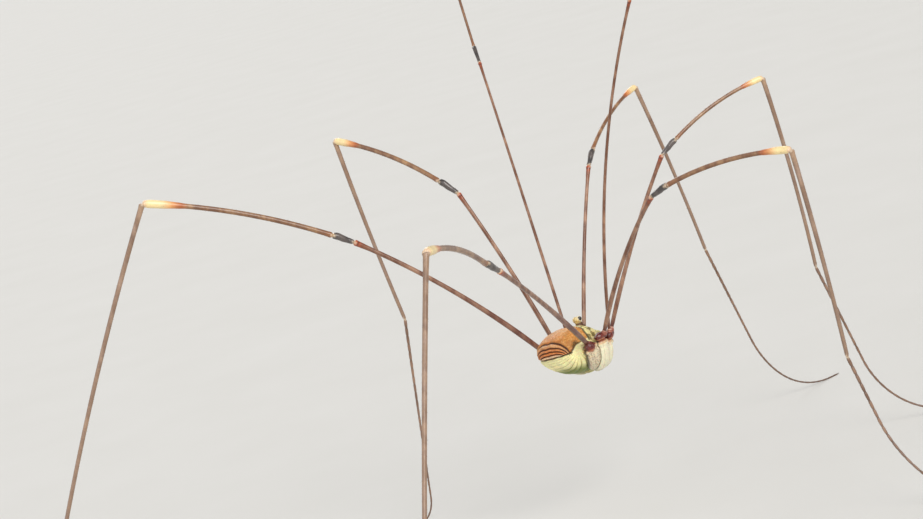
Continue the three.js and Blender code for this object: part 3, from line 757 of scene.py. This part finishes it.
def make_joint(name, key, pair, follow):
    """One stiff joint of a leg, with its ridges, its hinge knobs and its sleeves of pale skin."""
    length, stout = LENGTHS[pair][name], STOUTNESS[name][pair]
    jointed = name != "femur"
    s = spaced(length, 0.045, 0.3 if pair == 2 else 0.22, first=0.0 if jointed else 0.3)
    lifted = 0.05 * stout * bell(s - length + 0.45, 0.35) * (name == "patella")
    grid = leg_tube(follow, s, girth(name, pair, s), 1.04, lifted)
    angle = round_angles(LEG_ROUND)
    knob = bell(np.abs(np.cos(angle)) - 1, 0.12) * ringed(
        bell(s - length + 0.14, 0.09) + bell(s - 0.1, 0.07) * jointed, LEG_ROUND)
    ridges = RIDGE_HEIGHT * stout * np.cos(RIDGE_COUNT * angle) * ringed(
        rise(0.5, 1.2, s) * rise(length - 0.4, length - 1.2, s), LEG_ROUND)
    grid += outward(grid) * (KNOB_HEIGHT * stout * knob + ridges)[..., None]
    tip_length = {"tibia": TIP_SHARE[pair] * length * TIP_BLEND, "femur": 1.5}.get(name, length)
    skin_sleeve = rise(length - 0.1, length - 0.02, s) + rise(0.08, 0.0, s) * jointed
    end_ring = {"femur": 0.8 * bell(s - length + 0.3, 0.06), "tibia": 0.9 * bell(s - length + 0.1, 0.1)}
    # The femora of the last pair are dark over most of their length
    dusk = DUSK_SHARE * rise(DUSK_LENGTH, 2, s) * (name == "femur" and pair == 4)
    marks = {
        "tip": ringed(np.clip(1 - (length - s) / tip_length, 0, 1), LEG_ROUND),
        "root": ringed(np.maximum(0.9 * rise(1.4, 0.3, s) * (name != "patella"), dusk), LEG_ROUND),
        "hinge": np.clip(ringed(skin_sleeve, LEG_ROUND) + 0.7 * knob, 0, 1),
        "ring": ringed(end_ring.get(name, 0 * s), LEG_ROUND),
    }
    make_round(f"{name}_{key}_shell", grid * MM, LEG_FINISH[name], marks, SLOTS[name], f"{name}_{key}")


def make_tarsus(key, pair, follow, sink):
    """A tarsus: a whip of dozens of short rings, so supple that it curls round what it grips."""
    length = LENGTHS[pair]["tarsus"]
    ring_step = length / TARSUS_RINGS[pair]
    s = np.arange(0, length, ring_step / STEPS_A_RING)
    share = (s / ring_step) % 1
    pinch = bell(np.minimum(share, 1 - share), 0.13) * (s > ring_step * 0.5)
    radius = foot_radius(pair, length, s) * (1 - RING_PINCH * pinch + RING_SWELL * np.sin(math.pi * share))
    radius[:2] *= (0.7, 0.95)
    radius[-4:] *= (0.97, 0.9, 0.75, 0.5)
    grid = leg_tube(follow, s, radius, sides=TARSUS_ROUND)
    grid[..., 2] -= sink(s, follow(s)[0][:, 2])[:, None]
    marks = {"tip": s / length, "root": 0 * s, "hinge": rise(0.12, 0.0, s), "ring": 0.55 * pinch}
    make_round(f"tarsus_{key}_shell", grid * MM, LEG_FINISH["tarsus"],
               {k: ringed(v, TARSUS_ROUND) for k, v in marks.items()}, SLOTS["tarsus"], f"tarsus_{key}")


leg_courses, leg_sinks = {}, {}
for side_name, side in SIDES.items():
    for pair in LENGTHS:
        key = f"{pair}_{side_name}"
        start = on_trunk(mirrored(HIPS[pair], side)) / MM
        for name in POSTURE[key]:
            length = LENGTHS[pair][name]
            leg_courses[key, name], start = leg_line(start, length, arched(*POSTURE[key][name], length), side)
            make_joint(name, key, pair, leg_courses[key, name])
        leg_courses[key, "tarsus"], leg_sinks[key] = tarsus_course(key, pair, side, start)
        make_tarsus(key, pair, leg_courses[key, "tarsus"], leg_sinks[key])

# The trochanters: a squat dark red globe on each hip, which turns in the rim of the coxa. It is hard
# glossy shell with a rusty ring at its foot, two small spines, and a short collar that holds the femur.
# For each pair, the globe's centre and half-sizes on the left side
TROCHANTERS = {
    1: ((2.5, 1.58, -0.04), (0.36, 0.34, 0.32)), 2: ((1.7, 2.36, 0.0), (0.36, 0.35, 0.32)),
    3: ((0.56, 2.74, 0.36), (0.5, 0.36, 0.31)), 4: ((-0.61, 2.57, 0.02), (0.43, 0.42, 0.42)),
}
COLLAR_LINE = ((-0.1, 0.22), (0.1, 0.25), (0.25, 0.235), (0.33, 0.19), (0.38, 0.175), (0.43, 0.17),
               (0.47, 0.13))
SPINE_HEIGHT, SEAM_DEEP = 0.09, 0.02
TROCHANTER_RINGS, TROCHANTER_SIDES, COLLAR_RINGS = 54, 64, 30


def smooth_path(points, shares):
    """Points of a smooth curve that passes through the given points, at shares from 0 to 1 of its way."""
    knots = np.asarray(points, float)
    f = np.clip(np.asarray(shares) * (len(knots) - 1), 0, len(knots) - 1 - 1e-9)
    i = f.astype(int)
    t = (f - i)[:, None]
    padded = np.concatenate([2 * knots[:1] - knots[1:2], knots, 2 * knots[-1:] - knots[-2:-1]])
    a, b, c, d = (padded[i + k] for k in range(4))
    squares, cubes = 2 * a - 5 * b + 4 * c - d, 3 * b - a - 3 * c + d
    return 0.5 * (2 * b + (c - a) * t + squares * t ** 2 + cubes * t ** 3)


def ball_grid(rings, sides, margin=0.02):
    """A unit ball through rings along one axis: the points' places along it and two ways across it."""
    turn = np.linspace(margin, 1 - margin, rings) * math.pi
    angle = round_angles(sides)
    return (-np.outer(np.cos(turn), np.ones(sides)), np.outer(np.sin(turn), np.cos(angle)),
            np.outer(np.sin(turn), np.sin(angle)))


def join_grids(grids, values):
    """Several closed grids as one mesh. values: a dictionary of marks for each grid."""
    points, faces, marks = np.zeros((0, 3)), [], {k: [] for k in values[0]}
    for grid, given in zip(grids, values):
        more, sheets = close_grid(grid)
        faces += [[k + len(points) for k in face] for face in sheets]
        points = np.concatenate([points, more])
        for k, v in given.items():
            marks[k].append(mark_ends(v + np.zeros(grid.shape[:2])))
    return points, faces, {k: np.concatenate(v) for k, v in marks.items()}


finish = skin_finish("trochanter_shell", "521813", (
    (2600.0, 0.42, 0.66, 1, "7e3023"), ("foot", *FULL, "b06a48"), ("collar", *FULL, "9c5a48"),
    ("sleeve", *FULL, "c99a82")), (6000.0, 0.5, 0.3, 0.01), Coat_Weight=0.35, Coat_Roughness=0.2)
along, first, second = ball_grid(TROCHANTER_RINGS, TROCHANTER_SIDES)
spine = bell(along - 0.25, 0.1) * (bell(first - 0.93, 0.06) + bell(first + 0.93, 0.06))
seam = bell(along + 0.5, 0.07)
line = smooth_path(COLLAR_LINE, np.linspace(0, 1, COLLAR_RINGS))
s = line[:, 0]
for side_name, side in SIDES.items():
    for pair, (centre, half) in TROCHANTERS.items():
        key = f"{pair}_{side_name}"
        globe = mirrored(centre, side) + np.stack([first, second, along], -1) * np.array(half)
        bumps = 0.012 * ripple(globe, 0.2, 31)
        globe += outward(globe) * (SPINE_HEIGHT * spine - SEAM_DEEP * seam + bumps)[..., None]
        radius = line[:, 1] * (0.6 + 0.4 * STOUTNESS["femur"][pair])
        collar = leg_tube(leg_courses[key, "femur"], s, radius, sides=TROCHANTER_SIDES) * MM
        points, faces, marks = join_grids([on_trunk(globe), collar], [
            {"foot": rise(-0.42, -0.6, along), "collar": 0, "sleeve": 0},
            {"foot": 0, "collar": rise(0.0, 0.2, s)[:, None], "sleeve": rise(0.36, 0.4, s)[:, None]}])
        make_piece(f"trochanter_{key}", points, faces, finish, marks, "russet_legs", f"femur_{key}")

# The eye mound: a golden knob on a brown neck, split lengthwise by a shallow furrow. It is hard skin
# like the carapace, with a raised rim round the eye on each side and a row of tiny teeth over each.
# The rim's pale colour is partly a painted highlight round the eye.
MOUND_PLACE = np.array([1.4, 0, 1.42])
MOUND_LINE = ((-0.22, 0.43), (-0.06, 0.31), (0.08, 0.265), (0.18, 0.27), (0.28, 0.315), (0.38, 0.345),
              (0.47, 0.34), (0.55, 0.29), (0.61, 0.2), (0.64, 0.1), (0.648, 0.03))
EYE_RADIUS = 0.17
MOUND_RINGS, MOUND_SIDES = 110, 120
TOOTH_PLACES = ((-0.2, 0.12), (-0.09, 0.14), (0.03, 0.15), (0.14, 0.14), (0.24, 0.11))
TOOTH_HEIGHT, TOOTH_WIDTH = 0.055, 0.028
RIM_HEIGHT, SOCKET_DEEP, CANAL_DEEP = 0.035, 0.06, 0.045

finish = skin_finish("eye_mound_shell", "ead69c", (
    (4200.0, 0.45, 0.65, 1, "c8a262"), ("neck", *FULL, "5d3a1c"), ("canal", *FULL, "8a6428"),
    ("rim", *FULL, "efe6c4")), (9000.0, 0.5, 0.4, 0.012))
line = smooth_path(MOUND_LINE, np.linspace(0, 1, MOUND_RINGS))
angle = round_angles(MOUND_SIDES)
mound = MOUND_PLACE + np.stack([line[:, 1, None] * np.cos(angle) * 0.98, line[:, 1, None] * np.sin(angle),
                                line[:, 0, None] + 0 * angle], -1)
x, y, z = np.moveaxis(mound, -1, 0)
from_eye = np.linalg.norm(np.stack([x, np.abs(y), z], -1) - EYE_PLACE, axis=-1)
canal = bell(y, 0.055) * rise(1.7, 1.9, z)
relief = RIM_HEIGHT * bell(from_eye - 0.2, 0.03) - SOCKET_DEEP * rise(EYE_RADIUS, 0.1, from_eye)
relief += 0.008 * ripple(mound, 0.14, 41) - CANAL_DEEP * canal
mound = mound + outward(mound) * relief[..., None]
grids = [mound]
# rim: a pale ring round each eye, partly painted highlight
marks = [{"neck": rise(1.68, 1.5, mound[..., 2]), "canal": canal, "rim": bell(from_eye - 0.195, 0.026)}]
for tooth_x, tooth_y in TOOTH_PLACES:
    for side in SIDES.values():
        foot = MOUND_PLACE + np.array([tooth_x, tooth_y * side, 0.6 - 2.4 * (tooth_x ** 2 + tooth_y ** 2)])
        up = foot - (MOUND_PLACE + np.array([0, 0, 0.3]))
        up /= np.linalg.norm(up)
        flat = np.cross(up, [1, 0, 0.01])
        flat /= np.linalg.norm(flat)
        turn = np.linspace(0, 2 * math.pi, 8, endpoint=False)[:, None]
        loop = foot + TOOTH_WIDTH * (np.cos(turn) * flat + np.sin(turn) * np.cross(up, flat))
        # The tooth's three rings shrink towards its tip
        grids.append(np.stack([loop * share + (foot + up * TOOTH_HEIGHT * climb) * (1 - share)
                               for share, climb in ((1, 0), (0.4, 0.75), (0.08, 1))]))
        marks.append({"neck": 0, "canal": 1, "rim": 0})
points, faces, marks = join_grids(grids, marks)
make_piece("eye_mound_shell", on_trunk(points), faces, finish, marks, "gold_mound", "eye_mound")

# The eyes: two clear round lenses with black behind them, set in the sides of the mound. Each is one
# smooth dome of hard glassy skin.
EYE_RINGS, EYE_SIDES = 48, 64
finish, tree, shader = new_finish("eye_lens", Coat_Weight=1.0, Coat_Roughness=0.03, IOR=1.5)
join_value(tree, shader.inputs["Base Color"], lay_tones(tree, paint("050404"), (
    (3800.0, 0.35, 0.7, 1, "1a100a"), ("edge", *FULL, "3a2410"))))
polish = add_node(tree, "ShaderNodeTexNoise", Scale=30000.0, Detail=2.0)
join_value(tree, shader.inputs["Roughness"], within(tree, polish.outputs[0], 0.3, 0.7, 0.04, 0.1))
along, first, second = ball_grid(EYE_RINGS, EYE_SIDES)
for side_name, side in SIDES.items():
    # The rings run from the middle of the mound out to the front of the lens
    lens = np.stack([first, side * along, side * second], -1)[:, ::-1]
    make_round(f"eye_{side_name}_lens", on_trunk(mirrored(EYE_PLACE, side) + EYE_RADIUS * lens), finish,
               {"edge": rise(0.5, 0.3, along)}, "black_eye", f"eye_{side_name}")

# The mouthparts: two small cream pincers or chelicerae under the front edge, and beside each a short
# tan feeler or pedipalp, folded down and back, of six hard joints with a dark hooked claw.
PINCER_LINE = ((2.2, 0.3, -0.2), (2.75, 0.32, -0.28), (2.8, 0.3, -0.7), (2.6, 0.28, -1.2))
PINCER_GIRTH = (0.2, 0.235, 0.25, 0.2, 0.24, 0.26, 0.2, 0.09, 0.02)
FINGER_LINE = ((2.74, 0.16, -0.78), (2.78, 0.14, -0.98), (2.66, 0.2, -1.18))
FINGER_GIRTH = (0.05, 0.065, 0.05, 0.03, 0.01)
PALP_LINE = ((1.9, 0.66, -0.6), (2.3, 0.7, -0.7), (2.55, 0.7, -1.05), (2.4, 0.58, -1.5), (1.8, 0.42, -1.85))
PALP_GIRTH = (0.2, 0.22, 0.17, 0.23, 0.21, 0.15, 0.22, 0.2, 0.14, 0.18, 0.15, 0.11, 0.13, 0.09, 0.05)
PALP_JOINTS = (0.16, 0.38, 0.56, 0.78)
HOOK_LINE = ((1.86, 0.44, -1.83), (1.78, 0.4, -1.93), (1.72, 0.4, -1.88))
HOOK_GIRTH = (0.035, 0.03, 0.02, 0.008)
WAIST_DEEP = 0.035
MOUTH_RINGS, MOUTH_SIDES = 90, 32


def bar_along(line, girths, side, rings=MOUTH_RINGS, sides=MOUTH_SIDES):
    """Rings of a bar that follows a smooth line on the trunk, with its girth at even shares of its way, and
    the share of the way of each ring."""
    shares = np.linspace(0, 1, rings)
    place = smooth_path([mirrored(p, side) for p in line], shares)
    way = np.gradient(place, axis=0)
    way /= np.linalg.norm(way, axis=1, keepdims=True)
    across, along = cross_ways(way, np.array([0, 1.0, 0]))
    radius = np.maximum(smooth_path([(g, 0) for g in girths], shares)[:, :1], 0.004)
    angle = round_angles(sides)
    return rings_along(place, across, along, radius * np.cos(angle), radius * np.sin(angle)), shares[:, None]


def mouth_finish(name, base, spots, joint_tone, gloss):
    return skin_finish(name, base, (
        (3600.0, 0.48, 0.64, 1, spots), ("joint", *FULL, joint_tone), ("tip", *FULL, "24150e")),
        (9000.0, 0.4, gloss, 0.01), Subsurface_Weight=0.1, Subsurface_Scale=0.0003)


pincer_finish = mouth_finish("chelicera_shell", "eadfae", "b9a06a", "8c6a44", 0.36)
palp_finish = mouth_finish("pedipalp_shell", "b08c6c", "7c5a44", "dcc6a4", 0.42)
for side_name, side in SIDES.items():
    body, t = bar_along(PINCER_LINE, PINCER_GIRTH, side)
    body += outward(body) * (0.006 * ripple(body, 0.2, 51))[..., None]
    finger, f = bar_along(FINGER_LINE, FINGER_GIRTH, side, 40, 20)
    points, faces, marks = join_grids([body, finger], [
        {"joint": bell(t - 0.42, 0.03), "tip": rise(0.9, 0.97, t)}, {"joint": 0, "tip": rise(0.45, 0.8, f)}])
    make_piece(f"chelicera_{side_name}_shell", on_trunk(points), faces, pincer_finish, marks, "cream_coxae",
               f"chelicera_{side_name}")
    palp, t = bar_along(PALP_LINE, PALP_GIRTH, side)
    waist = sum(bell(t - joint, 0.018) for joint in PALP_JOINTS)
    palp += outward(palp) * (0.005 * ripple(palp, 0.18, 52) - WAIST_DEEP * waist)[..., None]
    hook, f = bar_along(HOOK_LINE, HOOK_GIRTH, side, 24, 14)
    points, faces, marks = join_grids([palp, hook], [{"joint": waist, "tip": 0}, {"joint": 0, "tip": 1}])
    make_piece(f"pedipalp_{side_name}_shell", on_trunk(points), faces, palp_finish, marks, "tan_feet",
               f"pedipalp_{side_name}")

# The belly plate: a smooth lid between the coxae that covers the opening of the body. It is thin hard
# skin, rounded in front, hinged behind, with a rim line all round and fine lines across it.
LID_PLACE, LID_HALF = (0.82, 0, -1.93), (0.72, 0.34, 0.28)
LID_NARROWING, LID_EDGE_DEEP, LID_LINES, LID_LINE_DEEP = 0.12, 0.025, 9, 0.006
LID_RINGS, LID_SIDES = 80, 72
finish = skin_finish("belly_lid", "ded79c", (
    (2600.0, 0.46, 0.62, 1, "a79c58"), ("edge", *FULL, "7a7038")), (8000.0, 0.4, 0.4, 0.012),
    Subsurface_Weight=0.12, Subsurface_Scale=0.0004)
ahead, aside, up = ball_grid(LID_RINGS, LID_SIDES, 0.015)
lid = np.stack([ahead, aside * (1 - LID_NARROWING * ahead), up], -1) * np.array(LID_HALF) + LID_PLACE
edge = bell(np.hypot(ahead, aside) - 0.82, 0.05) * (up < 0)
cross_lines = np.abs(np.sin(LID_LINES * ahead)) ** 8 * (up < 0)
relief = 0.006 * ripple(lid, 0.3, 61) - LID_EDGE_DEEP * edge - LID_LINE_DEEP * cross_lines
lid += outward(lid) * relief[..., None]
make_round("genital_plate_lid", on_trunk(lid), finish, {"edge": np.maximum(edge, 0.35 * cross_lines)},
           "cream_coxae", "genital_plate")

# The claws, hairs and spines of the legs. One small dark hook ends each tarsus. Fine stiff hairs, leaning
# towards the tip, cover the outer joints, and rows of tiny pale spines run along each femur. All grow
# from the leg's own skin.
# For each joint: hairs per millimetre, length of a hair and its thickness, in millimetres
HAIRS = {"femur": (3.2, 0.06, 0.018), "patella": (9.0, 0.09, 0.012), "tibia": (7.5, 0.11, 0.01),
         "metatarsus": (9.0, 0.12, 0.009), "tarsus": (8.0, 0.1, 0.008)}
HAIR_LEAN, SPINE_LEAN, SPINE_ROWS = 0.75, 0.35, 5
LOWEST_HAIR = 0.02
# The points and faces of one hair, and its points' places on the bake map in patches
HAIR_PATCH = ((-1, -1), (1, -1), (0, 1), (-0.6, -0.3), (0.6, -0.3), (0, 0.6), (0, 0.2))
HAIR_FACES = ((2, 1, 0), (0, 1, 4, 3), (1, 2, 5, 4), (2, 0, 3, 5), (3, 4, 6), (4, 5, 6), (5, 3, 6))
PATCH_SIZE = 0.0015
CLAW_BEND = ((0.0, 0.0), (0.09, 0.02), (0.15, -0.01), (0.17, -0.06))
CLAW_GIRTH = (0.05, 0.045, 0.03, 0.01)
CLAW_RINGS, CLAW_SIDES = 16, 12

hair_finish, tree, shader = new_finish("leg_hairs", roughness=0.4)
join_value(tree, shader.inputs["Base Color"], lay_tones(tree, paint("3b2418"), (
    (speckle(tree, 3000.0), 0.4, 0.6, 1, "6b4a34"), ("spine", *FULL, "d8c3a0"))))
claw_finish, tree, shader = new_finish("claw_horn", roughness=0.3)
join_value(tree, shader.inputs["Base Color"],
           lay_tones(tree, paint("1d120c"), ((speckle(tree, 9000.0), *FULL, "4a2f1e"),)))
chance = np.random.default_rng(71)


def radius_of(name, pair, s):
    """Radius of any leg joint at distances s."""
    return foot_radius(pair, LENGTHS[pair][name], s) if name == "tarsus" else girth(name, pair, s)


def grow_hairs(key, pair, order, name):
    """The hairs of one joint: their roots, tips, widths, places on the bake map, and whether spines."""
    length = LENGTHS[pair][name]
    thick, size, width = HAIRS[name]
    spiny = name == "femur"
    count = int(thick * length)
    s = chance.uniform(0.6 if spiny else 0.25, length - 0.25, count)
    angle = chance.uniform(0, 2 * math.pi, count)
    if spiny:
        angle = (np.floor(angle / (2 * math.pi) * SPINE_ROWS) + 0.5) / SPINE_ROWS * 2 * math.pi
    place, (run, across, over) = leg_courses[key, name](s)
    if name == "tarsus":
        place[:, 2] -= leg_sinks[key](s, place[:, 2])
    out = across * np.cos(angle)[:, None] + over * np.sin(angle)[:, None]
    lean = (SPINE_LEAN if spiny else HAIR_LEAN) * chance.uniform(0.8, 1.15, count)[:, None]
    reach = size * chance.uniform(0.75, 1.2, count)[:, None] * (0.75 if pair == 2 else 1)
    root = place + out * (radius_of(name, pair, s) * 0.96)[:, None]
    tip = root + (out * np.cos(lean) + run * np.sin(lean)) * reach
    spot = np.stack([s / length, (order + angle / (2 * math.pi)) / len(HAIRS)], -1)
    kept = tip[:, 2] > LOWEST_HAIR
    return root[kept], tip[kept], np.full(kept.sum(), width), spot[kept], np.full(kept.sum(), float(spiny))


def make_hairs(key, pair):
    """All hairs of a leg as one mesh. Each is a closed three-sided spike: three points at its root, three
    halfway and one at its tip."""
    root, tip, width, spot, spine = (np.concatenate(v) for v in zip(*(
        grow_hairs(key, pair, order, name) for order, name in enumerate(HAIRS))))
    way = tip - root
    way /= np.linalg.norm(way, axis=1, keepdims=True)
    first, second = cross_ways(way, np.array([0.3, 0.9, 0.31]))
    turns = (2 * math.pi * np.arange(3) / 3)[None, :, None]
    loop = first[:, None] * np.cos(turns) + second[:, None] * np.sin(turns)
    halfway = (root + tip) / 2 + np.array([0, 0, 0.004])
    points = np.concatenate([root[:, None] + loop * (width / 2)[:, None, None],
                             halfway[:, None] + loop * (width * 0.35)[:, None, None], tip[:, None]], 1)
    faces = [tuple(k * 7 + v for v in face) for k in range(len(root)) for face in HAIR_FACES]
    piece = make_piece(f"leg_hairs_{key}", points.reshape(-1, 3) * MM, faces, hair_finish,
                       {"spine": np.repeat(spine, 7)}, SLOTS["tibia"], f"tibia_{key}")
    places = np.clip((spot[:, None] + np.array(HAIR_PATCH) * PATCH_SIZE).reshape(-1, 2), 0.001, 0.999)
    corners = np.empty(len(piece.data.loops), int)
    piece.data.loops.foreach_get("vertex_index", corners)
    piece.data.uv_layers.new(name="OFBake").data.foreach_set("uv", places[corners].ravel())


def make_claw(key, pair):
    """The hook at the end of a tarsus."""
    length = LENGTHS[pair]["tarsus"]
    end, (run, across, over) = leg_courses[key, "tarsus"](np.array([length - 0.06]))
    low = leg_sinks[key](np.array([length]), end[:, 2])[0]
    shares = np.linspace(0, 1, CLAW_RINGS)
    bend = smooth_path(CLAW_BEND, shares)
    middle = end + run * bend[:, :1] + over * bend[:, 1:] - np.array([0, 0, low])
    middle[:, 2] = np.maximum(middle[:, 2], 0.03)
    girths = smooth_path([(g, 0) for g in CLAW_GIRTH], shares)[:, :1] * 0.55
    turns = round_angles(CLAW_SIDES)
    grid = rings_along(middle, across, over, girths * np.cos(turns), girths * np.sin(turns))
    make_round(f"claw_{key}", grid * MM, claw_finish, {}, "slate_knees", f"tarsus_{key}")


for side_name in SIDES:
    for pair in LENGTHS:
        make_hairs(f"{pair}_{side_name}", pair)
        make_claw(f"{pair}_{side_name}", pair)
